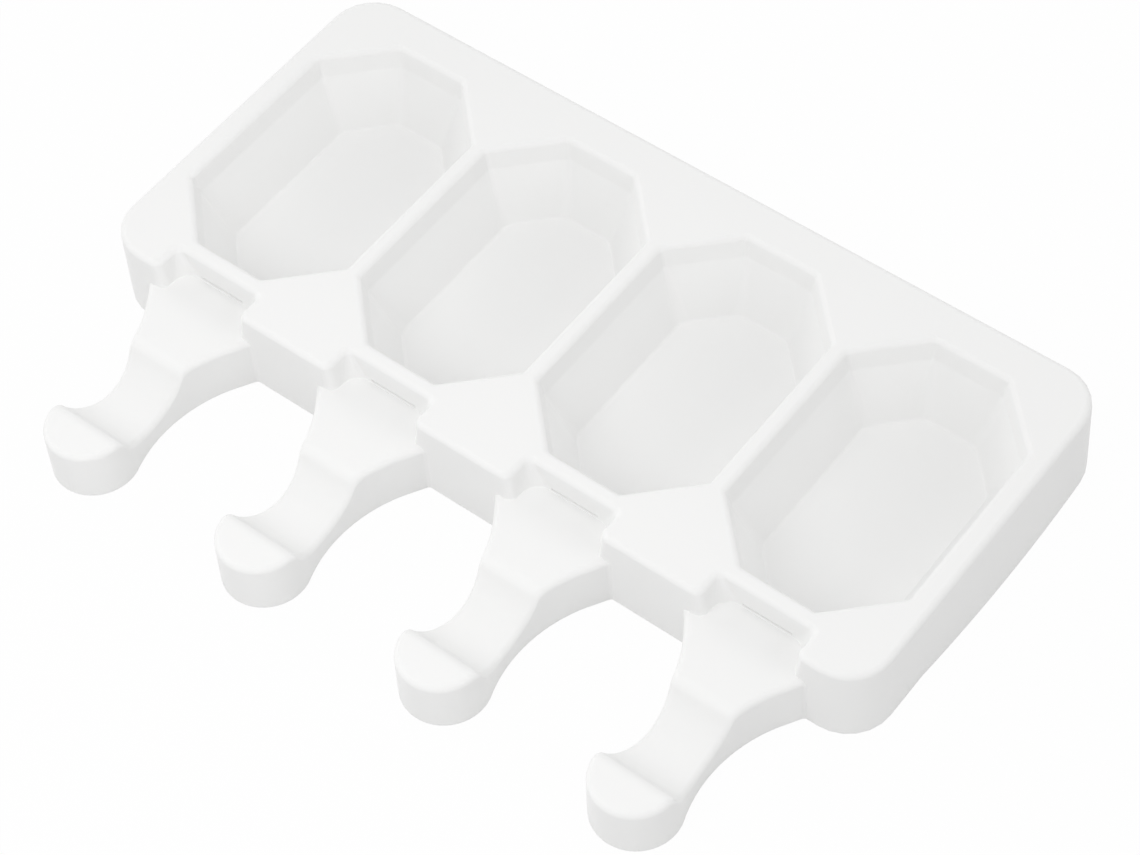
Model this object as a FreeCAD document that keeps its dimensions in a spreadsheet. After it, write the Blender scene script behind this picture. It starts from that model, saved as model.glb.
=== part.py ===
import FreeCAD, Part
import math
import os
import Sketcher

# An ice pop mould: one piece of silicone rubber. A tray with rounded corners holds a row of
# elongated octagonal cavities. A stick rest reaches out of the tray's front below each cavity.
# X runs along the row, the rests point to -Y and the mould stands on Z = 0. Y = 0 is the middle
# of the cavities while it is built, and the finished mould is moved to the middle of its length.

doc = FreeCAD.newDocument("ice_pop_mould")

# Sizes in millimetres and degrees. Each can be changed by itself.
sizes = {
    "cavity_count": 4,
    "cavity_pitch": 46.0,
    "cavity_width": 42.6,
    "cavity_length": 66.2,
    "corner_cut": 12.6,
    "rim_depth": 5.0,
    "rim_inset": 1.0,
    "cavity_depth": 17.4,
    "floor_inset": 6.4,
    "wall": 2.0,
    "tray_height": 19.4,
    "side_margin": 4.8,
    "back_margin": 9.1,
    "front_margin": 10.1,
    "tray_corner": 9.8,
    "foot_flare": 0.5,
    "rest_flare": 0.3,
    "notch_width": 22.2,
    "notch_wall": 3.5,
    "notch_lean": 7.0,
    "flat_drop": 7.0,
    "slot_width": 11.4,
    "slot_height": 1.2,
    "neck_width": 13.6,
    "neck_reach": 21.1,
    "side_radius": 31.0,
    "tip_reach": 34.7,
    "tip_radius": 9.2,
    "dip_reach": 24.1,
    "dip_radius": 10.5,
    "dip_rise": 3.0,
    "edge_round": 1.2,
    "rest_round": 1.2,
    "floor_round": 1.5,
    "mouth_round": 2.0,
    "nook_round": 1.5,
}

sheet = doc.addObject("Spreadsheet::Sheet", "Sizes")
for row, (name, value) in enumerate(sizes.items(), 1):
    sheet.set(f"A{row}", name)
    sheet.set(f"B{row}", str(value))
    sheet.setAlias(f"B{row}", name)
doc.recompute()

# Places that follow from the sizes
front = "(Sizes.cavity_length / 2 + Sizes.front_margin)"
back = "(Sizes.cavity_length / 2 + Sizes.back_margin)"
first_x = "(-(Sizes.cavity_count - 1) * Sizes.cavity_pitch / 2)"
side = "((Sizes.cavity_count - 1) * Sizes.cavity_pitch / 2 + Sizes.cavity_width / 2 + Sizes.side_margin)"
flat = "(Sizes.tray_height - Sizes.flat_drop)"
flare_angle = "atan(Sizes.foot_flare / Sizes.tray_height)"
rest_angle = f"atan(Sizes.rest_flare / {flat})"
cavity_slope = "((Sizes.floor_inset - Sizes.rim_inset) / (Sizes.cavity_depth - Sizes.rim_depth))"
crease = "(Sizes.tray_height - Sizes.rim_depth)"
notch_back = "(Sizes.cavity_length / 2 + Sizes.notch_wall)"
tip_front = f"({front} + Sizes.tip_reach + Sizes.tip_radius)"
octagon_share = 2 - math.sqrt(2)

# The sketches' own axes and origin, and how exactly a point has to lie on a place
horizontal_axis = -1
vertical_axis = -2
origin_point = (-1, 1)
tolerance = 0.01
points_per_edge = 7


def value_of(expression):
    """An expression in the sizes as a number."""
    found = sheet.evalExpression(expression.replace("Sizes.", ""))
    return float(getattr(found, "Value", found))


def origin_feature(body, role):
    return next(f for f in body.Origin.OriginFeatures if f.Role == role)


def new_sketch(body, name, role, offset):
    """A sketch on one of the body's own planes. Offset gives expressions for its local X, Y and Z."""
    sketch = body.newObject("Sketcher::SketchObject", name)
    sketch.AttachmentSupport = [(origin_feature(body, role), "")]
    sketch.MapMode = "FlatFace"
    for axis, expression in offset.items():
        sketch.setExpression(f"AttachmentOffset.Base.{axis}", expression)
    return sketch


def rule(sketch, kind, *geometry, label=None, expression=None):
    """Adds a constraint. One with a label is bound to an expression."""
    values = list(geometry)
    if expression is not None:
        values.append(value_of(expression))
    index = sketch.addConstraint(Sketcher.Constraint(kind, *values))
    if label:
        sketch.renameConstraint(index, label)
        sketch.setExpression(f"Constraints.{label}", expression)


def point(x, y):
    return FreeCAD.Vector(x, y, 0)


def arc(centre, radius, start, end):
    circle = Part.Circle(point(*centre), FreeCAD.Vector(0, 0, 1), radius)
    return Part.ArcOfCircle(circle, start, end)


def closed_lines(sketch, corners):
    """Lines from corner to corner, joined end to end."""
    count = len(corners)
    for index in range(count):
        start, end = corners[index], corners[(index + 1) % count]
        sketch.addGeometry(Part.LineSegment(point(*start), point(*end)))
    for index in range(count):
        rule(sketch, "Coincident", index, 2, (index + 1) % count, 1)


def draw_octagon(sketch, inset):
    """The cavity's octagon, moved inwards all round by an expression."""
    width = f"(Sizes.cavity_width - 2 * ({inset}))"
    length = f"(Sizes.cavity_length - 2 * ({inset}))"
    cut = f"(Sizes.corner_cut - {octagon_share} * ({inset}))"
    w, d, c = value_of(width) / 2, value_of(length) / 2, value_of(cut)
    closed_lines(sketch, [(w, -d + c), (w, d - c), (w - c, d), (-w + c, d),
                          (-w, d - c), (-w, -d + c), (-w + c, -d), (w - c, -d)])
    rule(sketch, "Symmetric", 0, 1, 0, 2, horizontal_axis)
    rule(sketch, "Symmetric", 4, 1, 4, 2, horizontal_axis)
    rule(sketch, "Symmetric", 2, 1, 2, 2, vertical_axis)
    rule(sketch, "Symmetric", 6, 1, 6, 2, vertical_axis)
    rule(sketch, "Symmetric", 0, 1, 4, 2, vertical_axis)
    rule(sketch, "Symmetric", 2, 1, 6, 2, horizontal_axis)
    rule(sketch, "DistanceX", 4, 1, 0, 2, label="Width", expression=width)
    rule(sketch, "DistanceY", 6, 1, 2, 2, label="Length", expression=length)
    rule(sketch, "DistanceX", 1, 2, 1, 1, label="CutAcross", expression=cut)
    rule(sketch, "DistanceY", 1, 1, 1, 2, label="CutAlong", expression=cut)


def draw_rounded_rectangle(sketch, inset):
    """The tray's foot, moved inwards all round by an expression."""
    reach = f"({side} + Sizes.foot_flare - ({inset}))"
    rear = f"({back} + Sizes.foot_flare - ({inset}))"
    fore = f"({front} + Sizes.foot_flare - ({inset}))"
    radius = f"(Sizes.tray_corner + Sizes.foot_flare - ({inset}))"
    x, y1, y0, r = value_of(reach), value_of(rear), value_of(fore), value_of(radius)
    sketch.addGeometry(Part.LineSegment(point(x, -y0 + r), point(x, y1 - r)))
    sketch.addGeometry(arc((x - r, y1 - r), r, 0, math.pi / 2))
    sketch.addGeometry(Part.LineSegment(point(x - r, y1), point(-x + r, y1)))
    sketch.addGeometry(arc((-x + r, y1 - r), r, math.pi / 2, math.pi))
    sketch.addGeometry(Part.LineSegment(point(-x, y1 - r), point(-x, -y0 + r)))
    sketch.addGeometry(arc((-x + r, -y0 + r), r, math.pi, 1.5 * math.pi))
    sketch.addGeometry(Part.LineSegment(point(-x + r, -y0), point(x - r, -y0)))
    sketch.addGeometry(arc((x - r, -y0 + r), r, 1.5 * math.pi, 2 * math.pi))
    for index in range(8):
        rule(sketch, "Tangent", index, 2, (index + 1) % 8, 1)
    rule(sketch, "Vertical", 0)
    rule(sketch, "Vertical", 4)
    rule(sketch, "Horizontal", 2)
    rule(sketch, "Horizontal", 6)
    for index in (3, 5, 7):
        rule(sketch, "Equal", 1, index)
    rule(sketch, "Radius", 1, label="Corner", expression=radius)
    rule(sketch, "DistanceX", *origin_point, 0, 1, label="Right", expression=reach)
    rule(sketch, "DistanceX", 4, 1, *origin_point, label="Left", expression=reach)
    rule(sketch, "DistanceY", *origin_point, 2, 1, label="Back", expression=rear)
    rule(sketch, "DistanceY", 6, 1, *origin_point, label="Front", expression=fore)


def draw_rest(sketch, inset, root):
    """A stick rest from above, moved inwards by an expression. Root is its start's distance from
    the middle. A wide arc narrows it to the neck, and a second one opens it to the round tip."""
    neck = f"(Sizes.neck_width / 2 - ({inset}))"
    neck_y = f"({front} + Sizes.neck_reach)"
    wide = f"(Sizes.side_radius + ({inset}))"
    tip = f"(Sizes.tip_radius - ({inset}))"
    tip_y = f"({front} + Sizes.tip_reach)"
    n, ny, r1, r2, ty, ry = (value_of(e) for e in (neck, neck_y, wide, tip, tip_y, root))
    run = ty - ny
    r3 = (n * n + run * run - r2 * r2) / (2 * (r2 - n))
    root_turn = math.asin((ny - ry) / r1)
    root_half = n + r1 * (1 - math.cos(root_turn))
    tip_turn = math.atan2(run, n + r3)
    half = math.pi
    sketch.addGeometry(Part.LineSegment(point(-root_half, -ry), point(root_half, -ry)))
    sketch.addGeometry(arc((n + r1, -ny), r1, half - root_turn, half))
    sketch.addGeometry(arc((n + r3, -ny), r3, half, half + tip_turn))
    sketch.addGeometry(arc((0, -ty), r2, half - tip_turn, 2 * half + tip_turn))
    sketch.addGeometry(arc((-n - r3, -ny), r3, -tip_turn, 0))
    sketch.addGeometry(arc((-n - r1, -ny), r1, 0, root_turn))
    rule(sketch, "Coincident", 0, 2, 1, 1)
    rule(sketch, "Coincident", 5, 2, 0, 1)
    rule(sketch, "Tangent", 1, 2, 2, 1)
    rule(sketch, "Tangent", 2, 2, 3, 2)
    rule(sketch, "Tangent", 3, 1, 4, 1)
    rule(sketch, "Tangent", 4, 2, 5, 1)
    rule(sketch, "Horizontal", 0)
    rule(sketch, "Equal", 1, 5)
    rule(sketch, "Equal", 2, 4)
    rule(sketch, "Symmetric", 1, 3, 5, 3, vertical_axis)
    rule(sketch, "Horizontal", 1, 3, 2, 3)
    rule(sketch, "PointOnObject", 3, 3, vertical_axis)
    rule(sketch, "Radius", 1, label="Side", expression=wide)
    rule(sketch, "Radius", 3, label="Tip", expression=tip)
    rule(sketch, "DistanceX", *origin_point, 1, 2, label="Neck", expression=neck)
    rule(sketch, "DistanceY", 1, 3, *origin_point, label="NeckReach", expression=neck_y)
    rule(sketch, "DistanceY", 3, 3, *origin_point, label="TipReach", expression=tip_y)
    rule(sketch, "DistanceY", 0, 1, *origin_point, label="Root", expression=root)


def draw_rectangle(sketch, left, right, low, high):
    """A rectangle between four expressions, each a distance from the sketch's origin."""
    x0, x1, y0, y1 = (value_of(e) for e in (left, right, low, high))
    closed_lines(sketch, [(x0, y0), (x1, y0), (x1, y1), (x0, y1)])
    for index in (0, 2):
        rule(sketch, "Horizontal", index)
    for index in (1, 3):
        rule(sketch, "Vertical", index)
    rule(sketch, "DistanceX", *origin_point, 0, 1, label="Left", expression=left)
    rule(sketch, "DistanceX", *origin_point, 1, 1, label="Right", expression=right)
    rule(sketch, "DistanceY", *origin_point, 0, 1, label="Low", expression=low)
    rule(sketch, "DistanceY", *origin_point, 2, 1, label="High", expression=high)


def draw_notch(sketch):
    """The notch seen from the front: its sides lean outwards from the rest to the tray's top."""
    top_half = "(Sizes.notch_width / 2)"
    foot_half = f"({top_half} - Sizes.flat_drop * tan(Sizes.notch_lean))"
    x1, x0, z0, z1 = (value_of(e) for e in (top_half, foot_half, flat, "Sizes.tray_height"))
    closed_lines(sketch, [(-x0, z0), (x0, z0), (x1, z1), (-x1, z1)])
    rule(sketch, "Symmetric", 0, 1, 0, 2, vertical_axis)
    rule(sketch, "Symmetric", 2, 1, 2, 2, vertical_axis)
    rule(sketch, "DistanceX", *origin_point, 0, 2, label="FootHalf", expression=foot_half)
    rule(sketch, "DistanceX", *origin_point, 2, 1, label="TopHalf", expression=top_half)
    rule(sketch, "DistanceY", *origin_point, 0, 2, label="Foot", expression=flat)
    rule(sketch, "DistanceY", *origin_point, 2, 1, label="Top", expression="Sizes.tray_height")


def draw_dip(sketch, extra):
    """The finger dip's circle, seen along X, grown by an expression."""
    radius = f"(Sizes.dip_radius + ({extra}))"
    reach = f"({front} + Sizes.dip_reach)"
    height = f"({flat} + Sizes.dip_rise)"
    centre = point(-value_of(reach), value_of(height))
    sketch.addGeometry(Part.Circle(centre, FreeCAD.Vector(0, 0, 1), value_of(radius)))
    rule(sketch, "Radius", 0, label="Radius", expression=radius)
    rule(sketch, "DistanceX", 0, 3, *origin_point, label="Reach", expression=reach)
    rule(sketch, "DistanceY", *origin_point, 0, 3, label="Height", expression=height)


def extrude(body, kind, name, sketch, length, taper=None, upwards=False, midplane=False):
    """A pad or pocket of a sketch, with its length and taper bound to expressions."""
    feature = body.newObject(f"PartDesign::{kind}", name)
    feature.Profile = sketch
    feature.setExpression("Length", length)
    if taper:
        feature.setExpression("TaperAngle", taper)
    feature.Reversed = upwards
    feature.Midplane = midplane
    return feature


def repeat(body, name, features=None):
    """Repeats features along the row, one for each cavity. Without any, repeats the whole body."""
    pattern = body.newObject("PartDesign::LinearPattern", name)
    if features:
        pattern.Originals = features
    else:
        pattern.TransformMode = "Whole shape"
    pattern.Direction = (origin_feature(body, "X_Axis"), [""])
    pattern.Mode = "Spacing"
    pattern.setExpression("Offset", "Sizes.cavity_pitch")
    pattern.setExpression("Occurrences", "Sizes.cavity_count")
    body.Tip = pattern
    return pattern


def off_middle(place):
    """How far to the side of the nearest cavity's middle a point lies."""
    pitch = value_of("Sizes.cavity_pitch")
    steps = (place.x - value_of(first_x)) / pitch
    last = value_of("Sizes.cavity_count") - 1
    return abs(place.x - value_of(first_x) - pitch * min(max(round(steps), 0), last))


def near(value, target):
    return abs(value - target) < tolerance


def cut_with(body, name, tool):
    """Takes another body's shape away from a body."""
    boolean = body.newObject("PartDesign::Boolean", name)
    boolean.Type = "Cut"
    boolean.setObjects([tool])
    body.Tip = boolean
    doc.recompute()


def round_edges(body, name, radius, wanted):
    """Rounds the edges of the body's last feature whose points between the ends meet a test."""
    base = body.Tip
    names = []
    for index, edge in enumerate(base.Shape.Edges, 1):
        if all(wanted(place) for place in edge.discretize(Number=points_per_edge)[1:-1]):
            names.append(f"Edge{index}")
    fillet = body.newObject("PartDesign::Fillet", name)
    fillet.Base = (base, names)
    fillet.setExpression("Radius", radius)
    doc.recompute()
    return fillet


def draft_sides(body, name, angle, level, upwards):
    """Leans the upright faces of the body's last pad outwards or inwards from a level."""
    doc.recompute()
    pad = body.Tip
    plane = body.newObject("PartDesign::Plane", f"{name}Plane")
    plane.AttachmentSupport = [(origin_feature(body, "XY_Plane"), "")]
    plane.MapMode = "FlatFace"
    plane.setExpression("AttachmentOffset.Base.z", level)
    height = value_of(level)
    names = []
    for index, face in enumerate(pad.Shape.Faces, 1):
        middle = face.CenterOfMass
        upright = near(face.normalAt(0, 0).z, 0)
        if upright and (middle.z > height) == upwards:
            names.append(f"Face{index}")
    draft = body.newObject("PartDesign::Draft", name)
    draft.Base = (pad, names)
    draft.NeutralPlane = (plane, [""])
    draft.Reversed = True
    draft.setExpression("Angle", angle)
    doc.recompute()
    return draft


def round_form(form):
    """Rounds the corners and edges that the moulded rubber has round."""
    doc.recompute()
    top, level, face = (value_of(e) for e in ("Sizes.tray_height", flat, front))
    nook_y = -value_of(notch_back)
    foot_half = value_of("Sizes.notch_width / 2 - Sizes.flat_drop * tan(Sizes.notch_lean)")
    top_half = value_of("Sizes.notch_width / 2")
    flare = value_of("Sizes.foot_flare")

    def at_notch_side(place):
        share = (place.z - level) / (top - level)
        half = foot_half + (top_half - foot_half) * share
        within = -tolerance < share < 1 + tolerance
        return within and near(off_middle(place), half)

    def at_mouth(place):
        on_front_face = -face - flare - tolerance < place.y < -face + tolerance
        return on_front_face and at_notch_side(place)

    round_edges(form, "MouthRound", "Sizes.mouth_round", at_mouth)
    round_edges(form, "NookRound", "Sizes.nook_round",
                lambda p: at_notch_side(p) and near(p.y, nook_y))
    round_edges(form, "TopRound", "Sizes.edge_round", lambda p: near(p.z, top))

    tip_y = -value_of(f"{front} + Sizes.tip_reach")
    tip_r = value_of("Sizes.tip_radius - Sizes.rest_flare")
    dip_y = -value_of(f"{front} + Sizes.dip_reach")
    dip_half = value_of("sqrt(Sizes.dip_radius ^ 2 - Sizes.dip_rise ^ 2)")

    def on_dip_end_or_tip(place):
        at_dip_end = near(abs(place.y - dip_y), dip_half)
        at_tip = near(math.hypot(off_middle(place), place.y - tip_y), tip_r)
        return near(place.z, level) and (at_dip_end or at_tip)

    round_edges(form, "RestRound", "Sizes.rest_round", on_dip_end_or_tip)


def make_pop():
    """The frozen pop's own shape, which the cavity is cut with: a steep band below the mould's top,
    and walls that lean in from there to a smaller floor."""
    pop = doc.addObject("PartDesign::Body", "Pop")
    pop.AllowCompound = True
    outline = new_sketch(pop, "PopCrease", "XY_Plane", {"x": first_x, "z": crease})
    draw_octagon(outline, "Sizes.rim_inset")
    extrude(pop, "Pad", "PopBand", outline, "Sizes.rim_depth")
    draft_sides(pop, "BandDraft", "atan(Sizes.rim_inset / Sizes.rim_depth)", crease, True)
    extrude(pop, "Pad", "PopCore", outline, "Sizes.cavity_depth - Sizes.rim_depth", upwards=True)
    draft_sides(pop, "CoreDraft", f"atan({cavity_slope})", crease, False)
    floor = value_of("Sizes.tray_height - Sizes.cavity_depth")
    round_edges(pop, "FloorRound", "Sizes.floor_round", lambda p: near(p.z, floor))
    repeat(pop, "PopRow")
    return pop


def make_pop_shell():
    """The outside of a cavity's wall, seen from below: the pop's shape one wall's thickness larger,
    with a straight collar around the band that closes the space between two cavities."""
    shell = doc.addObject("PartDesign::Body", "PopShell")
    shell.AllowCompound = True
    lean = f"Sizes.wall * sqrt(1 + {cavity_slope} ^ 2)"
    outline = new_sketch(shell, "ShellCrease", "XY_Plane", {"x": first_x, "z": crease})
    draw_octagon(outline, f"Sizes.rim_inset - {lean}")
    extrude(shell, "Pad", "ShellCore", outline, crease, upwards=True)
    draft_sides(shell, "ShellDraft", f"atan({cavity_slope})", crease, False)
    collar = new_sketch(shell, "CollarOutline", "XY_Plane", {"x": first_x, "z": f"{crease} - Sizes.wall"})
    draw_octagon(collar, "-Sizes.wall")
    extrude(shell, "Pad", "Collar", collar, "Sizes.rim_depth + Sizes.wall")
    repeat(shell, "ShellRow")
    return shell


def make_form():
    """The mould as if it were solid below: tray, rests, notches, slots, dips and cavities."""
    form = doc.addObject("PartDesign::Body", "Form")

    tray = new_sketch(form, "TrayFoot", "XY_Plane", {})
    draw_rounded_rectangle(tray, "0")
    extrude(form, "Pad", "Tray", tray, "Sizes.tray_height", taper=f"-{flare_angle}")

    outline = new_sketch(form, "RestOutline", "XY_Plane", {"x": first_x})
    draw_rest(outline, "0", f"({front} - Sizes.wall)")
    rest = extrude(form, "Pad", "Rest", outline, flat, taper=f"-{rest_angle}")

    notch_face = new_sketch(form, "NotchFace", "XZ_Plane", {"x": first_x, "z": f"{front} + Sizes.wall"})
    draw_notch(notch_face)
    notch = extrude(form, "Pocket", "Notch", notch_face,
                    "Sizes.wall + Sizes.front_margin - Sizes.notch_wall")

    slot_mouth = new_sketch(form, "SlotMouth", "XZ_Plane", {"x": first_x, "z": f"{notch_back} + Sizes.wall"})
    draw_rectangle(slot_mouth, "-Sizes.slot_width / 2", "Sizes.slot_width / 2",
                   flat, f"{flat} + Sizes.slot_height")
    slot = extrude(form, "Pocket", "Slot", slot_mouth,
                   "Sizes.notch_wall + Sizes.wall + Sizes.floor_inset")

    dip_circle = new_sketch(form, "DipCircle", "YZ_Plane", {"z": first_x})
    draw_dip(dip_circle, "0")
    dip = extrude(form, "Pocket", "Dip", dip_circle, "4 * Sizes.tip_radius", midplane=True)

    repeat(form, "Row", [rest, notch, slot, dip])
    cut_with(form, "Cavities", make_pop())
    round_form(form)
    return form


def make_underside():
    """The space under the mould, one wall's thickness inside the form all over. The tray's front
    skirt stays between the tray and each rest."""
    under = doc.addObject("PartDesign::Body", "Underside")

    tray = new_sketch(under, "TrayCoreFoot", "XY_Plane", {})
    draw_rounded_rectangle(tray, "Sizes.wall")
    extrude(under, "Pad", "TrayCore", tray, "Sizes.tray_height - Sizes.wall", taper=f"-{flare_angle}")

    outline = new_sketch(under, "RestCoreOutline", "XY_Plane", {"x": first_x})
    draw_rest(outline, "Sizes.wall + Sizes.rest_flare", f"({front} + Sizes.foot_flare)")
    rest = extrude(under, "Pad", "RestCore", outline, f"{flat} - Sizes.wall")

    dip_circle = new_sketch(under, "DipShellCircle", "YZ_Plane", {"z": first_x})
    draw_dip(dip_circle, "Sizes.wall")
    dip = extrude(under, "Pocket", "DipShell", dip_circle, "4 * Sizes.tip_radius", midplane=True)

    bridge = new_sketch(under, "NotchShellFront", "XZ_Plane", {"x": first_x, "z": f"{front} + Sizes.wall"})
    draw_rectangle(bridge, "-(Sizes.notch_width / 2 + Sizes.wall)", "Sizes.notch_width / 2 + Sizes.wall",
                   f"{flat} - Sizes.wall", "Sizes.tray_height + Sizes.wall")
    notch = extrude(under, "Pocket", "NotchShell", bridge,
                    "Sizes.front_margin + Sizes.floor_inset + Sizes.wall")

    repeat(under, "UndersideRow", [rest, dip, notch])
    cut_with(under, "CavityShells", make_pop_shell())
    return under


mould = make_form()
cut_with(mould, "Hollow", make_underside())
mould.Label = "mould"
mould.setExpression("Placement.Base.y", f"({tip_front} - {back} - Sizes.foot_flare) / 2")
doc.recompute()

for item in doc.Objects:
    if "Invalid" in item.State or "Error" in item.State:
        raise RuntimeError(f"{item.Name}: {item.State}")
if mould.Shape.isNull() or not mould.Shape.isValid():
    raise RuntimeError("the mould's shape is not valid")

os.makedirs("parts", exist_ok=True)
mould.Shape.exportStep(f"parts/{mould.Label}.step")
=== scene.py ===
from math import asin, atan2, cos, pi, radians, sin, sqrt, tan

import bmesh
import bpy
from mathutils import Matrix, Vector


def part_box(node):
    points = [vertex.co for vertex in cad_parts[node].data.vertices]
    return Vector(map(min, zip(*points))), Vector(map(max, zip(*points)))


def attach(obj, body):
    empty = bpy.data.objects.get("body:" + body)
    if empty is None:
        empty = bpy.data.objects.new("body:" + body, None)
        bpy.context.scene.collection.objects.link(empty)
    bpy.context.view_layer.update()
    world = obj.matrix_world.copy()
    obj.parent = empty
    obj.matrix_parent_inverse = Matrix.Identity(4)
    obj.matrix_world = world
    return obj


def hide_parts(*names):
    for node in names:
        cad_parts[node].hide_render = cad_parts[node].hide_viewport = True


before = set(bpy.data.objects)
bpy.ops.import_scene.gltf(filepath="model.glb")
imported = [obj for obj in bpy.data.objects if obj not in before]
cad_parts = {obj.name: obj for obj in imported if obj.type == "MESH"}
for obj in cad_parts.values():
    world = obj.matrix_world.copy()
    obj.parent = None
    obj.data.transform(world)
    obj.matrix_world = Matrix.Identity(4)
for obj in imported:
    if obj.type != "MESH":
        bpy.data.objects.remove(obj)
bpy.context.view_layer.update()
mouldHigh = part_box("mould")[1]

mm = 0.001                 # every size below is in millimetres, unless it says more
arcSteps = 6               # faces round a quarter turn of a small edge
overlap = 1.0              # how far a cutting shape passes the face that it cuts
mergeGap = 0.0005          # points nearer than this become one
shortEdge = 0.0002         # edges shorter than this go


def addObject(name, mesh):
    made = bpy.data.objects.new(name, mesh)
    bpy.context.scene.collection.objects.link(made)
    return made


def roundedPath(corners, closed=True):
    # each corner is x, y and a radius, and becomes an arc between its two sides
    points = []
    count = len(corners)
    for index, (x, y, radius) in enumerate(corners):
        here = Vector((x, y))
        if not closed and index in (0, count - 1):
            points.append(here)
            continue
        before = (Vector(corners[index - 1][:2]) - here).normalized()
        after = (Vector(corners[(index + 1) % count][:2]) - here).normalized()
        half = before.angle(after) / 2
        centre = here + (before + after).normalized() * radius / sin(half)
        start = here + before * radius / tan(half) - centre
        turn = pi - 2 * half
        if before.x * after.y - before.y * after.x > 0:
            turn = -turn
        for step in range(arcSteps + 1):
            points.append(centre + Matrix.Rotation(turn * step / arcSteps, 2) @ start)
    return points


def meshFrom(name, points, faces):
    # points are in millimetres
    mesh = bmesh.new()
    corners = [mesh.verts.new(Vector(p) * mm) for p in points]
    for face in faces:
        mesh.faces.new([corners[i] for i in face])
    bmesh.ops.remove_doubles(mesh, verts=mesh.verts[:], dist=mergeGap * mm)
    bmesh.ops.dissolve_degenerate(mesh, edges=mesh.edges[:], dist=shortEdge * mm)
    bmesh.ops.recalc_face_normals(mesh, faces=mesh.faces[:])
    data = bpy.data.meshes.new(name)
    mesh.to_mesh(data)
    mesh.free()
    return addObject(name, data)


def loft(name, rings):
    # joins rings that have as many points, and closes both ends
    size = len(rings[0])
    points = [p for ring in rings for p in ring]
    faces = [list(range(size)), [len(points) - size + i for i in range(size)]]
    for level in range(len(rings) - 1):
        for i in range(size):
            j = (i + 1) % size
            a, b = level * size, (level + 1) * size
            faces.append([a + i, a + j, b + j, b + i])
    return meshFrom(name, points, faces)


def raised(ring, z):
    return [(p[0], p[1], z) for p in ring]


# Repeats along the row
row = {
    "count": 4,
    "pitch": 46.0,
}


def makeRowTree():
    tree = bpy.data.node_groups.new("repeatAlongRow", "GeometryNodeTree")
    face = tree.interface
    face.new_socket("Geometry", in_out="INPUT", socket_type="NodeSocketGeometry")
    face.new_socket("Count", in_out="INPUT", socket_type="NodeSocketInt")
    face.new_socket("Pitch", in_out="INPUT", socket_type="NodeSocketFloat")
    face.new_socket("Material", in_out="INPUT", socket_type="NodeSocketMaterial")
    face.new_socket("Geometry", in_out="OUTPUT", socket_type="NodeSocketGeometry")
    add = tree.nodes.new
    join = tree.links.new
    given = add("NodeGroupInput")
    steps = add("ShaderNodeMath")
    steps.operation = "SUBTRACT"
    steps.inputs[1].default_value = 1.0
    half = add("ShaderNodeMath")
    half.operation = "MULTIPLY"
    half.inputs[1].default_value = -0.5
    reach = add("ShaderNodeMath")
    reach.operation = "MULTIPLY"
    start = add("ShaderNodeCombineXYZ")
    pitch = add("ShaderNodeCombineXYZ")
    line = add("GeometryNodeMeshLine")
    copies = add("GeometryNodeInstanceOnPoints")
    solid = add("GeometryNodeRealizeInstances")
    paint = add("GeometryNodeSetMaterial")
    result = add("NodeGroupOutput")
    join(given.outputs["Count"], steps.inputs[0])
    join(steps.outputs[0], half.inputs[0])
    join(half.outputs[0], reach.inputs[0])
    join(given.outputs["Pitch"], reach.inputs[1])
    join(reach.outputs[0], start.inputs["X"])
    join(given.outputs["Pitch"], pitch.inputs["X"])
    join(given.outputs["Count"], line.inputs["Count"])
    join(start.outputs[0], line.inputs["Start Location"])
    join(pitch.outputs[0], line.inputs["Offset"])
    join(line.outputs["Mesh"], copies.inputs["Points"])
    join(given.outputs["Geometry"], copies.inputs["Instance"])
    join(copies.outputs["Instances"], solid.inputs["Geometry"])
    join(solid.outputs["Geometry"], paint.inputs["Geometry"])
    join(given.outputs["Material"], paint.inputs["Material"])
    join(paint.outputs["Geometry"], result.inputs["Geometry"])
    return tree


def plainMesh(piece):
    # applies the modifiers and gives a new object with the result
    graph = bpy.context.evaluated_depsgraph_get()
    graph.update()
    data = bpy.data.meshes.new_from_object(piece.evaluated_get(graph), depsgraph=graph)
    name = piece.name
    bpy.data.objects.remove(piece)
    data.name = name
    return addObject(name, data)


def repeatAlongRow(piece, tree, material):
    modifier = piece.modifiers.new("row", "NODES")
    modifier.node_group = tree
    values = {"Count": row["count"], "Pitch": row["pitch"] * mm, "Material": material}
    for item in tree.interface.items_tree:
        if item.in_out == "INPUT" and item.name in values:
            modifier[item.identifier] = values[item.name]
    return plainMesh(piece)


def combine(target, tool, operation):
    modifier = target.modifiers.new("combine", "BOOLEAN")
    modifier.operation = operation
    modifier.solver = "MANIFOLD"
    modifier.object = tool
    result = plainMesh(target)
    bpy.data.objects.remove(tool)
    return result


# Tray and cavities
tray = {
    "frontMargin": 10.1,   # from the cavities to the front face
    "backMargin": 9.1,
    "cornerRound": 9.5,
    "footFlare": 0.5,      # how much wider the foot is than the top
    "edgeRound": 1.3,
}

notch = {
    "width": 22.2,
    "wall": 3.5,           # from the notch to the cavity
    "lean": 7.0,           # degrees
    "drop": 7.0,           # from the tray's top to the flat of the rest
    "mouthRound": 2.0,
    "nookRound": 1.1,      # in plan, at the top
    "nookFoot": 4.0,       # in plan, at the flat
    "footRound": 0.2,
    "sunk": 0.3,           # how far its floor lies below the rest that covers it
    "squeeze": 0.1,        # how much its points close up where they lie in the front face
}

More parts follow.
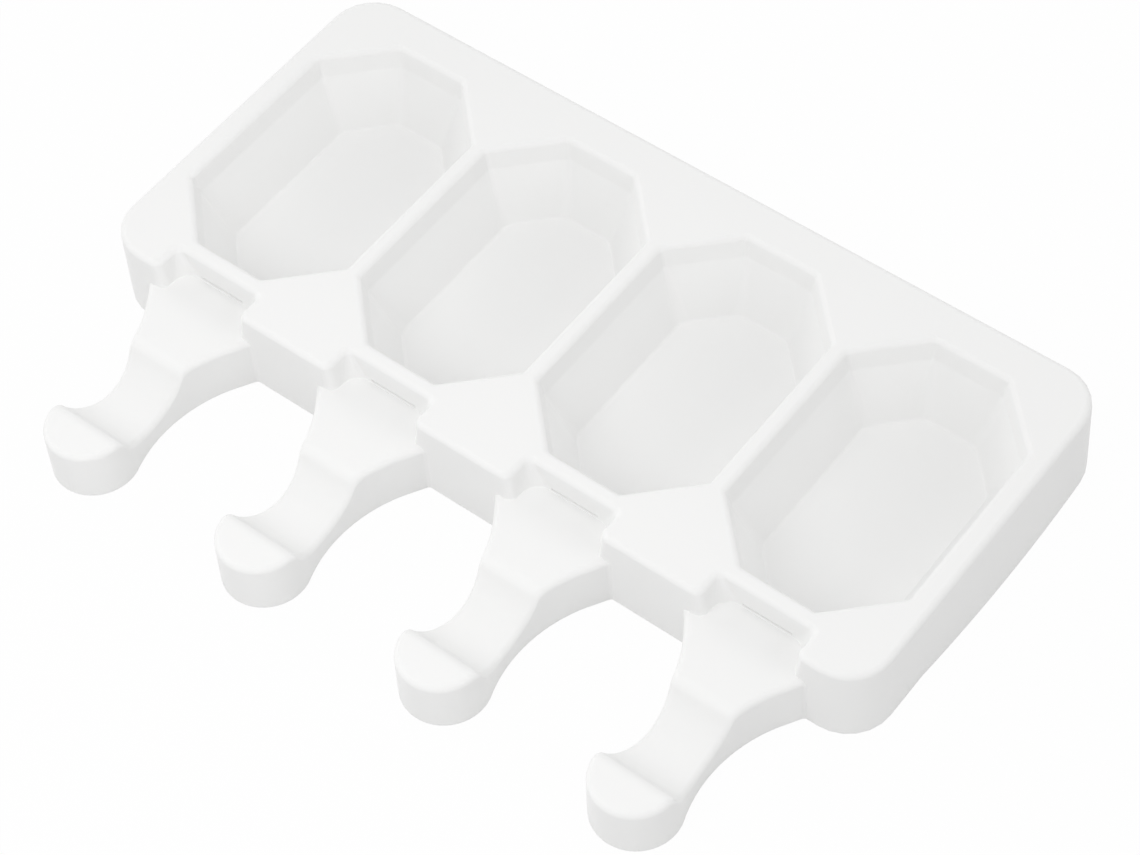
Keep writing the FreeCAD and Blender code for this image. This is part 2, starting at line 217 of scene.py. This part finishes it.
cavity = {
    "width": 42.6,
    "length": 66.2,
    "cornerCut": 12.6,     # how much of each corner the octagon cuts off
    "depth": 17.4,
    "rimDepth": 5.0,       # height of the steep band below the mouth
    "rimInset": 1.0,
    "floorInset": 6.4,
    "mouthRound": 1.4,
    "creaseRound": 3.5,
    "floorRound": 0.6,
    "cornerRound": 1.4,    # between two walls, from the mouth to the crease
    "floorCorner": 4.2,    # between two walls at the floor
    "floorReach": 4.0,     # from the floor's edge to its middle face
}

topZ = mouldHigh.z / mm
flatZ = topZ - notch["drop"]
floorZ = topZ - cavity["depth"]
creaseZ = topZ - cavity["rimDepth"]
sideX = mouldHigh.x / mm - tray["footFlare"]
backY = mouldHigh.y / mm - tray["footFlare"]
middleY = backY - tray["backMargin"] - cavity["length"] / 2    # the middle of the cavities
frontY = middleY - cavity["length"] / 2 - tray["frontMargin"]
notchY = middleY - cavity["length"] / 2 - notch["wall"]
rowX = [(i - (row["count"] - 1) / 2) * row["pitch"] for i in range(row["count"])]


def notchHalf(z):
    return notch["width"] / 2 - (topZ - max(z, flatZ)) * tan(radians(notch["lean"]))


def trayRing(z, inset=0.0, foot=0.0):
    # the tray's outline at a height, moved inwards. Foot narrows the notches only
    flare = tray["footFlare"] * (1 - z / topZ)
    side = sideX - inset + flare
    back = backY - inset + flare
    front = frontY + inset - flare
    corner = tray["cornerRound"] - inset + flare
    half = notchHalf(z) + inset - foot
    nookY = notchY + inset - foot
    mouth = notch["mouthRound"] - inset
    sunk = (topZ - max(z, flatZ)) / notch["drop"]
    nook = notch["nookRound"] + (notch["nookFoot"] - notch["nookRound"]) * sunk + inset - foot
    corners = [(side, back, corner), (-side, back, corner), (-side, front, corner)]
    for x in rowX:
        corners += [(x - half, front, mouth), (x - half, nookY, nook),
                    (x + half, nookY, nook), (x + half, front, mouth)]
    corners.append((side, front, corner))
    return raised(roundedPath(corners), z)


def straightRing(z, like):
    # the outline below the flat: the notches' points lie in the front face
    plain = trayRing(z)
    front = frontY - tray["footFlare"] * (1 - z / topZ)
    per = arcSteps + 1
    ring = []
    for index, point in enumerate(plain):
        if 3 * per <= index < len(plain) - per:
            x, y = like[index][:2]
            middle = min(rowX, key=lambda place: abs(place - x))
            depth = (y - front) / (notchY - front)
            ring.append((middle + (x - middle) * (1 - notch["squeeze"] * depth), front, z))
        else:
            ring.append(point)
    return ring


def makeTray():
    edge = tray["edgeRound"]
    footRound = notch["footRound"]
    sunk = flatZ - notch["sunk"]
    rings = []
    for step in range(arcSteps + 1):
        turn = pi / 2 * step / arcSteps
        rings.append(trayRing(topZ - edge * (1 - cos(turn)), inset=edge * (1 - sin(turn))))
    for step in range(arcSteps + 1):
        turn = pi / 2 * step / arcSteps
        level = flatZ + footRound * (1 - sin(turn))
        rings.append(trayRing(level, foot=footRound * (1 - cos(turn))))
    last = trayRing(sunk, foot=footRound)
    rings.append(last)
    rings.append(straightRing(sunk, last))
    rings.append(straightRing(0.0, last))
    return loft("mouldBody", rings)


def octagonRing(z, inset):
    half = cavity["width"] / 2 - inset
    reach = cavity["length"] / 2 - inset
    cut = cavity["cornerCut"] - (2 - sqrt(2)) * inset
    radius = cavity["cornerRound"]
    if z < creaseZ:
        sunk = (creaseZ - max(z, floorZ)) / (creaseZ - floorZ)
        radius += (cavity["floorCorner"] - cavity["cornerRound"]) * sqrt(sunk)
    corners = [(half, -reach + cut), (half, reach - cut), (half - cut, reach), (-half + cut, reach),
               (-half, reach - cut), (-half, -reach + cut), (-half + cut, -reach), (half - cut, -reach)]
    ring = roundedPath([(x, y, radius) for x, y in corners])
    return [(p.x, p.y + middleY, z) for p in ring]


def makePop():
    # the frozen pop's own shape, with the mouth's rounded edge
    path = roundedPath([(-3 * cavity["mouthRound"], topZ, 0),
                        (0, topZ, cavity["mouthRound"]),
                        (cavity["rimInset"], creaseZ, cavity["creaseRound"]),
                        (cavity["floorInset"], floorZ, cavity["floorRound"]),
                        (cavity["floorInset"] + cavity["floorReach"], floorZ, 0)], closed=False)
    path[0] = Vector((path[1].x, topZ + overlap))
    return loft("pop", [octagonRing(p.y, p.x) for p in path])


# Stick slots
slot = {
    "width": 11.4,
    "mouthHeight": 1.0,    # of its upper lip at the notch's wall
    "slitRise": 0.22,      # from the mouth's floor to the slit's
    "slitHeight": 0.12,    # inside, where the lips almost close
    "slitWidth": 11.0,
    "lead": 0.5,           # from the mouth to the slit
    "cornerRound": 0.05,
}


def makeSlot():
    # a short funnel that closes to a thin slit
    low, high = flatZ + notch["footRound"], flatZ + slot["mouthHeight"]
    slitLow = low + slot["slitRise"]
    slitHigh = slitLow + slot["slitHeight"]
    inside = notchY + slot["lead"]
    through = notchY + notch["wall"] + cavity["floorInset"]
    rings = []
    levels = [(notchY - overlap, slot["width"], low, high),
              (notchY, slot["width"], low, high),
              (inside, slot["slitWidth"], slitLow, slitHigh),
              (through, slot["slitWidth"], slitLow, slitHigh)]
    for y, width, bottom, top in levels:
        half = width / 2
        radius = slot["cornerRound"]
        outline = roundedPath([(-half, bottom, radius), (half, bottom, radius),
                               (half, top, radius), (-half, top, radius)])
        rings.append([(p.x, y, p.y) for p in outline])
    return loft("slot", rings)


# Stick rests
rest = {                   # sizes at the level of its flat
    "neckWidth": 13.0,
    "neckReach": 21.1,     # from the tray's front face
    "sideRadius": 31.3,
    "rootReach": 5.0,      # from here to the tray the sides are straight
    "rootRound": 1.6,      # between the sides and the tray's front
    "rootEnd": 78.0,       # degrees at which that arc ends inside the tray
    "tipReach": 34.7,
    "tipRadius": 8.9,
    "flare": 0.3,
    "dipReach": 24.1,
    "dipRadius": 10.5,
    "dipRise": 3.0,        # height of the dip's centre above the flat
    "edgeRound": 1.3,
    "ridgeRound": 3.2,
    "rowStep": 0.8,
    "fineStep": 0.15,      # near the dip's ridges
    "tipSteps": 12,
}

neckHalf = rest["neckWidth"] / 2
tipRun = rest["tipReach"] - rest["neckReach"]
lowerRadius = neckHalf ** 2 + tipRun ** 2 - rest["tipRadius"] ** 2
lowerRadius /= 2 * (rest["tipRadius"] - neckHalf)
tipTurn = atan2(tipRun, neckHalf + lowerRadius)
tipStart = rest["tipReach"] - rest["tipRadius"] * sin(tipTurn)
rootTurn = asin((rest["neckReach"] - rest["rootReach"]) / rest["sideRadius"])


def restHeight(reach, flat, dipRadius, ridgeRound):
    # the height along a rest: flat, dip and flat, with both ridges rounded
    centreZ = flatZ + rest["dipRise"]
    ridge = sqrt((dipRadius + ridgeRound) ** 2 - (centreZ - flat + ridgeRound) ** 2)
    away = abs(reach - rest["dipReach"])
    if away >= ridge:
        return flat
    if away > ridge * dipRadius / (dipRadius + ridgeRound):
        return flat - ridgeRound + sqrt(ridgeRound ** 2 - (ridge - away) ** 2)
    return centreZ - sqrt(dipRadius ** 2 - away ** 2)


def straightSpot(reach, inset):
    radius = rest["sideRadius"]
    slide = (rest["neckReach"] - reach - (radius + inset) * sin(rootTurn)) / cos(rootTurn)
    return (neckHalf + radius + slide * sin(rootTurn), rest["neckReach"] - slide * cos(rootTurn),
            radius, 1, rootTurn)


def restSpots(start, inset):
    # the right half of the outline, from the tray to the tip: for each spot the middle of its
    # arc, the radius, whether the arc is hollow (1) or round (-1) and the angle
    ridges = [rest["dipReach"] - rest["dipRadius"], rest["dipReach"] + rest["dipRadius"]]
    spots = []
    if start < 0:
        # ends in an arc towards the tray's front and goes on inside the tray
        radius = rest["rootRound"]
        last = radians(rest["rootEnd"])
        reach = radius * (sin(last) - sin(rootTurn))
        x, reach = restPoint(straightSpot(reach, 0), 0)
        middle = (x + radius * cos(rootTurn), reach + radius * sin(rootTurn))
        root = middle[0] - radius * cos(last)
        spots = [(root, start, 0, 1, 0), (root, start / 2 - overlap, 0, 1, 0)]
        for step in range(arcSteps):
            spots.append((*middle, radius, 1, last + (rootTurn - last) * step / arcSteps))
        start = reach
    reach = start
    while reach < rest["tipReach"] + rest["tipRadius"] / 2:
        if reach < tipStart:
            radius = rest["sideRadius"] if reach < rest["neckReach"] else lowerRadius
            turn = asin((rest["neckReach"] - reach) / (radius + inset))
            if turn > rootTurn:
                spots.append(straightSpot(reach, inset))
            else:
                spots.append((neckHalf + radius, rest["neckReach"], radius, 1, turn))
        else:
            turn = asin((rest["tipReach"] - reach) / rest["tipRadius"])
            spots.append((0, rest["tipReach"], rest["tipRadius"], -1, turn))
        near = min(abs(reach - ridge) for ridge in ridges) < 1.5 * rest["ridgeRound"]
        reach += rest["fineStep"] if near else rest["rowStep"]
    last = spots[-1][4]
    for step in range(1, rest["tipSteps"] + 1):
        turn = last + (-pi / 2 - last) * step / rest["tipSteps"]
        spots.append((0, rest["tipReach"], rest["tipRadius"], -1, turn))
    return spots


def restPoint(spot, inset):
    x, reach, radius, hollow, turn = spot
    grown = radius + hollow * inset
    return x - hollow * grown * cos(turn), reach - grown * sin(turn)


def makeRest(name, start, inset, flat, dipRadius, edge, ridgeRound, foot):
    # a body with rounded upper edges whose top follows the dip
    spots = restSpots(start, inset)

    def ringAt(turn, bottom=False):
        right = []
        for spot in spots:
            reach = restPoint(spot, inset)[1]
            z = foot if bottom else restHeight(reach, flat, dipRadius, ridgeRound) - edge
            lean = rest["flare"] * (1 - max(z, 0) / flatZ) if inset == 0 else 0
            x, reach = restPoint(spot, inset - lean + edge * (1 - cos(turn)))
            if not bottom:
                z = restHeight(reach, flat, dipRadius, ridgeRound) - edge * (1 - sin(turn))
            if inset == 0:
                # the root follows the flare of the tray's front
                root = min(1, max(0, 1 - reach / rest["rootReach"]))
                reach += root * (tray["footFlare"] * (1 - max(z, 0) / topZ) - lean * sin(spot[4]))
            right.append((max(x, 0), frontY - reach, z))
        return right + [(-x, y, z) for x, y, z in reversed(right[:-1])]

    rings = [ringAt(0, bottom=True)]
    for step in range(arcSteps + 1):
        rings.append(ringAt(pi / 2 * step / arcSteps))
    size = len(rings[0])
    points = [p for ring in rings for p in ring]
    faces = []
    for level in range(len(rings) - 1):
        for i in range(size):
            j = (i + 1) % size
            a, b = level * size, (level + 1) * size
            faces.append([a + i, a + j, b + j, b + i])
    for base in (0, len(points) - size):
        for i in range(len(spots) - 1):
            j = size - 1 - i
            across = [i, i + 1, j - 1, j] if j - 1 > i + 1 else [i, i + 1, j]
            faces.append([base + k for k in across])
    return meshFrom(name, points, faces)


# Underside
underside = {
    "wall": 2.0,
    "edgeRound": 0.4,
}


def makePopShell(x):
    # the outside of a cavity's wall, seen from below
    wall = underside["wall"]
    slope = (cavity["floorInset"] - cavity["rimInset"]) / (cavity["depth"] - cavity["rimDepth"])
    outset = wall * sqrt(1 + slope ** 2) - cavity["rimInset"]
    bottom = -2 * overlap
    collarZ = creaseZ - (wall - outset) / slope
    levels = [(bottom, -outset + slope * (creaseZ - bottom)), (collarZ, -wall), (topZ + overlap, -wall)]
    shell = loft("popShell", [octagonRing(z, inset) for z, inset in levels])
    shell.data.transform(Matrix.Translation((x * mm, 0, 0)))
    return shell


def makeNotchShell():
    half = notch["width"] / 2 + underside["wall"]
    low = flatZ - underside["wall"]
    outline = [(-half, low), (half, low), (half, topZ + overlap), (-half, topZ + overlap)]
    ends = (frontY - 2 * overlap, middleY - cavity["length"] / 2 + cavity["floorInset"])
    return loft("notchShell", [[(x, y, z) for x, z in outline] for y in ends])


def makeTrayCore():
    wall = underside["wall"]
    rings = []
    for z in (-overlap, topZ - wall):
        flare = tray["footFlare"] * (1 - z / topZ) - wall
        side, back, front = sideX + flare, backY + flare, frontY - flare
        corner = tray["cornerRound"] + flare
        rings.append(raised(roundedPath([(side, back, corner), (-side, back, corner),
                                         (-side, front, corner), (side, front, corner)]), z))
    return loft("trayCore", rings)


# The rubber gives a little
flex = {
    "sway": (-0.25, -0.1, -0.4, -0.55),    # how far each tip lies to the side
    "swayPower": 1.5,
    "rootSway": -0.45,
    "swayWidth": 15.6,     # to the side of a rest's middle, what still sways with it
    "bulge": 1.0,          # of the right side's foot
    "bulgeY": 8.0,         # from the middle towards the back
    "bulgeReach": 31.0,
    "bulgeSteps": 12,
    "leftGive": 0.75,      # how far the left side and the back stand out
    "backGive": 0.5,
    "giveReach": 8.0,      # how far from the side it starts
}


def splitSide(piece):
    # gives the long faces of the right side points in between, so that they can bend
    mesh = bmesh.new()
    mesh.from_mesh(piece.data)
    inner = (sideX - 1.5 * underside["wall"]) * mm
    for step in range(flex["bulgeSteps"] + 1):
        y = middleY + flex["bulgeY"] + flex["bulgeReach"] * (2 * step / flex["bulgeSteps"] - 1)
        if y > backY - tray["cornerRound"] - overlap:
            continue
        faces = [f for f in mesh.faces if min(v.co.x for v in f.verts) > inner]
        edges = {e for f in faces for e in f.edges}
        corners = {v for f in faces for v in f.verts}
        bmesh.ops.bisect_plane(mesh, geom=[*corners, *edges, *faces],
                               plane_co=(0, y * mm, 0), plane_no=(0, 1, 0))
    mesh.to_mesh(piece.data)
    mesh.free()


def flexed(point):
    x, y, z = point
    index = min(range(row["count"]), key=lambda i: abs(rowX[i] - x))
    if y < frontY and abs(x - rowX[index]) < flex["swayWidth"]:
        along = (frontY - y) / (rest["tipReach"] + rest["tipRadius"])
        before = max(0.0, 1 - (frontY - y) / rest["neckReach"])
        x += flex["sway"][index] * along ** flex["swayPower"] + flex["rootSway"] * before ** 2
    if x > sideX - underside["wall"]:
        around = max(0.0, 1 - ((y - middleY - flex["bulgeY"]) / flex["bulgeReach"]) ** 2)
        x += flex["bulge"] * around * (1 - z / topZ)
    x -= flex["leftGive"] * min(1, max(0.0, 1 - (x + sideX) / flex["giveReach"]))
    y += flex["backGive"] * min(1, max(0.0, 1 + (y - backY) / flex["giveReach"]))
    return Vector((x, y, z))


# Material
silicone = {
    "color": (0.865, 0.865, 0.86, 1.0),
    "roughness": 0.6,
    "roughSpread": 0.08,   # how much it varies with the grain
    "gloss": 0.15,
    "cloud": 0.012,        # how much the tone wanders over the surface
    "cloudScale": 28.0,
    "grainScale": 2600.0,
    "grainHeight": 0.012,
    "grainDetail": 3.0,
    "grainStrength": 0.35,
    "sharpAngle": 35.0,    # degrees between faces that meet in a sharp edge
}


def makeSurfaceGroup():
    group = bpy.data.node_groups.new("moldedSurface", "ShaderNodeTree")
    face = group.interface
    face.new_socket("Color", in_out="INPUT", socket_type="NodeSocketColor")
    for name in ("Cloud", "Cloud Scale", "Grain Scale", "Roughness", "Grain Height"):
        face.new_socket(name, in_out="INPUT", socket_type="NodeSocketFloat")
    face.new_socket("Color", in_out="OUTPUT", socket_type="NodeSocketColor")
    face.new_socket("Roughness", in_out="OUTPUT", socket_type="NodeSocketFloat")
    face.new_socket("Height", in_out="OUTPUT", socket_type="NodeSocketFloat")
    add = group.nodes.new
    join = group.links.new
    given = add("NodeGroupInput")
    place = add("ShaderNodeTexCoord")
    cloud = add("ShaderNodeTexNoise")
    grain = add("ShaderNodeTexNoise")
    grain.inputs["Detail"].default_value = silicone["grainDetail"]
    spread = add("ShaderNodeMapRange")
    spread.inputs["To Max"].default_value = 1.0
    low = add("ShaderNodeMath")
    low.operation = "SUBTRACT"
    low.inputs[0].default_value = 1.0
    tone = add("ShaderNodeVectorMath")
    tone.operation = "SCALE"
    rough = add("ShaderNodeMapRange")
    roughLow = add("ShaderNodeMath")
    roughLow.operation = "MULTIPLY"
    roughLow.inputs[1].default_value = 1 - silicone["roughSpread"]
    roughHigh = add("ShaderNodeMath")
    roughHigh.operation = "MULTIPLY"
    roughHigh.inputs[1].default_value = 1 + silicone["roughSpread"]
    height = add("ShaderNodeMath")
    height.operation = "MULTIPLY"
    result = add("NodeGroupOutput")
    join(place.outputs["Object"], cloud.inputs["Vector"])
    join(place.outputs["Object"], grain.inputs["Vector"])
    join(given.outputs["Cloud Scale"], cloud.inputs["Scale"])
    join(given.outputs["Grain Scale"], grain.inputs["Scale"])
    join(given.outputs["Cloud"], low.inputs[1])
    join(low.outputs[0], spread.inputs["To Min"])
    join(cloud.outputs["Fac"], spread.inputs["Value"])
    join(given.outputs["Color"], tone.inputs[0])
    join(spread.outputs["Result"], tone.inputs["Scale"])
    join(tone.outputs["Vector"], result.inputs["Color"])
    join(given.outputs["Roughness"], roughLow.inputs[0])
    join(given.outputs["Roughness"], roughHigh.inputs[0])
    join(roughLow.outputs[0], rough.inputs["To Min"])
    join(roughHigh.outputs[0], rough.inputs["To Max"])
    join(grain.outputs["Fac"], rough.inputs["Value"])
    join(rough.outputs["Result"], result.inputs["Roughness"])
    join(grain.outputs["Fac"], height.inputs[0])
    join(given.outputs["Grain Height"], height.inputs[1])
    join(height.outputs[0], result.inputs["Height"])
    return group


def makeSilicone():
    material = bpy.data.materials.new("whiteSilicone")
    material.use_nodes = True
    nodes, links = material.node_tree.nodes, material.node_tree.links
    shader = nodes["Principled BSDF"]
    surface = nodes.new("ShaderNodeGroup")
    surface.node_tree = makeSurfaceGroup()
    surface.inputs["Color"].default_value = silicone["color"]
    surface.inputs["Cloud"].default_value = silicone["cloud"]
    surface.inputs["Cloud Scale"].default_value = silicone["cloudScale"]
    surface.inputs["Grain Scale"].default_value = silicone["grainScale"]
    surface.inputs["Roughness"].default_value = silicone["roughness"]
    surface.inputs["Grain Height"].default_value = silicone["grainHeight"]
    bump = nodes.new("ShaderNodeBump")
    bump.inputs["Strength"].default_value = silicone["grainStrength"]
    bump.inputs["Distance"].default_value = mm
    shader.inputs["Specular IOR Level"].default_value = silicone["gloss"]
    links.new(surface.outputs["Color"], shader.inputs["Base Color"])
    links.new(surface.outputs["Roughness"], shader.inputs["Roughness"])
    links.new(surface.outputs["Height"], bump.inputs["Height"])
    links.new(bump.outputs["Normal"], shader.inputs["Normal"])
    return material


# Surroundings
studio = {
    "ambient": 0.645,
    "lamps": {             # place in metres, power in watts and width in metres
        "top": ((0.0, 0.0, 1.8), 3.7, 1.2),
        "left": ((-1.6, 0.0, 0.9), 2.6, 1.2),
        "leftLow": ((-1.8, 0.0, 0.35), 3.8, 0.8),
        "back": ((0.0, 1.6, 0.9), 3.0, 1.2),
        "right": ((1.6, 0.0, 0.9), 4.5, 1.2),
        "front": ((0.0, -1.8, 0.35), 2.3, 0.8),
        "tips": ((-0.03, -0.24, 0.3), 0.26, 0.2),
    },
    "floorSize": 6.0,      # metres
    "floorColor": 0.75,
    "floorGlow": 0.97,     # how much of the floor's white is plain to the camera
    "floorGap": 0.05,      # millimetres below the mould
}

camera = {
    "place": (0.249297, -0.267666, 0.502218),    # metres
    "turn": (36.0817, 2.9968, 37.6038),          # degrees
    "lens": 96.457,        # millimetres, as its sensor
    "sensor": 36.0,
    "near": 0.01,          # metres to the nearest thing that it sees
}


def isSeenDirectly(nodes, links):
    # 1 for what the camera sees itself, in a reflection or through glass
    path = nodes.new("ShaderNodeLightPath")
    first = nodes.new("ShaderNodeMath")
    first.operation = "MAXIMUM"
    second = nodes.new("ShaderNodeMath")
    second.operation = "MAXIMUM"
    links.new(path.outputs["Is Camera Ray"], first.inputs[0])
    links.new(path.outputs["Is Glossy Ray"], first.inputs[1])
    links.new(first.outputs[0], second.inputs[0])
    links.new(path.outputs["Is Transmission Ray"], second.inputs[1])
    return second.outputs[0]


def makeFloor():
    size = studio["floorSize"] / 2
    z = -studio["floorGap"] * mm
    data = bpy.data.meshes.new("floor")
    corners = [(-size, -size, z), (size, -size, z), (size, size, z), (-size, size, z)]
    data.from_pydata(corners, [], [(0, 1, 2, 3)])
    floor = addObject("floor", data)
    material = bpy.data.materials.new("paleFloor")
    material.use_nodes = True
    nodes, links = material.node_tree.nodes, material.node_tree.links
    nodes.remove(nodes["Principled BSDF"])
    tone = studio["floorColor"]
    matt = nodes.new("ShaderNodeBsdfDiffuse")
    matt.inputs["Color"].default_value = (tone, tone, tone, 1)
    glow = nodes.new("ShaderNodeEmission")
    glow.inputs["Strength"].default_value = 1.0
    share = nodes.new("ShaderNodeMath")
    share.operation = "MULTIPLY"
    share.inputs[1].default_value = studio["floorGlow"]
    mix = nodes.new("ShaderNodeMixShader")
    links.new(isSeenDirectly(nodes, links), share.inputs[0])
    links.new(share.outputs[0], mix.inputs["Fac"])
    links.new(matt.outputs[0], mix.inputs[1])
    links.new(glow.outputs[0], mix.inputs[2])
    links.new(mix.outputs[0], nodes["Material Output"].inputs["Surface"])
    data.materials.append(material)


def makeWorld():
    world = bpy.data.worlds.new("studio")
    bpy.context.scene.world = world
    world.use_nodes = True
    nodes, links = world.node_tree.nodes, world.node_tree.links
    background = nodes["Background"]
    background.inputs["Color"].default_value = (1, 1, 1, 1)
    strength = nodes.new("ShaderNodeMapRange")
    strength.inputs["To Min"].default_value = studio["ambient"]
    strength.inputs["To Max"].default_value = 1.0
    links.new(isSeenDirectly(nodes, links), strength.inputs["Value"])
    links.new(strength.outputs["Result"], background.inputs["Strength"])


def makeLamps():
    for name, (place, power, size) in studio["lamps"].items():
        data = bpy.data.lights.new(name, "AREA")
        data.energy = power
        data.shape = "DISK"
        data.size = size
        lamp = addObject(name, data)
        lamp.location = place
        lamp.rotation_euler = (-Vector(place)).to_track_quat("-Z", "Y").to_euler()


def makeCamera():
    data = bpy.data.cameras.new("view")
    data.lens = camera["lens"]
    data.sensor_width = camera["sensor"]
    data.clip_start = camera["near"]
    seen = addObject("view", data)
    seen.location = camera["place"]
    seen.rotation_euler = [radians(a) for a in camera["turn"]]
    bpy.context.scene.camera = seen


makeCamera()
makeWorld()
makeLamps()
makeFloor()
bpy.context.scene.view_settings.view_transform = "Standard"
print("stage: camera, light and floor")

white = makeSilicone()
rowTree = makeRowTree()
mould = makeTray()
wholeRest = makeRest("rest", frontY - notchY - overlap, 0.0, flatZ, rest["dipRadius"],
                     rest["edgeRound"], rest["ridgeRound"], 0.0)
mould = combine(mould, repeatAlongRow(wholeRest, rowTree, white), "UNION")
mould = combine(mould, repeatAlongRow(makePop(), rowTree, white), "DIFFERENCE")
mould = combine(mould, repeatAlongRow(makeSlot(), rowTree, white), "DIFFERENCE")
print("stage: tray, rests, cavities and slots")

wallSize = underside["wall"]
core = makeTrayCore()
core = combine(core, repeatAlongRow(makeNotchShell(), rowTree, white), "DIFFERENCE")
for cavityX in rowX:
    core = combine(core, makePopShell(cavityX), "DIFFERENCE")
mould = combine(mould, core, "DIFFERENCE")
restCore = makeRest("restCore", tray["footFlare"], wallSize + rest["flare"], flatZ - wallSize,
                    rest["dipRadius"] + wallSize, underside["edgeRound"],
                    underside["edgeRound"], -overlap)
mould = combine(mould, repeatAlongRow(restCore, rowTree, white), "DIFFERENCE")
print("stage: underside")

splitSide(mould)
for vertex in mould.data.vertices:
    vertex.co = flexed(vertex.co / mm) * mm
mould.name = "moldedMould"
mould.data.materials.clear()
mould.data.materials.append(white)
for polygon in mould.data.polygons:
    polygon.material_index = 0
mould.data.shade_smooth()
mould.data.set_sharp_from_angle(angle=radians(silicone["sharpAngle"]))
soften = mould.modifiers.new("normals", "WEIGHTED_NORMAL")
soften.keep_sharp = True
mould = plainMesh(mould)
print("stage: finished mould,", len(mould.data.polygons), "faces")

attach(mould, "root")
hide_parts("mould")
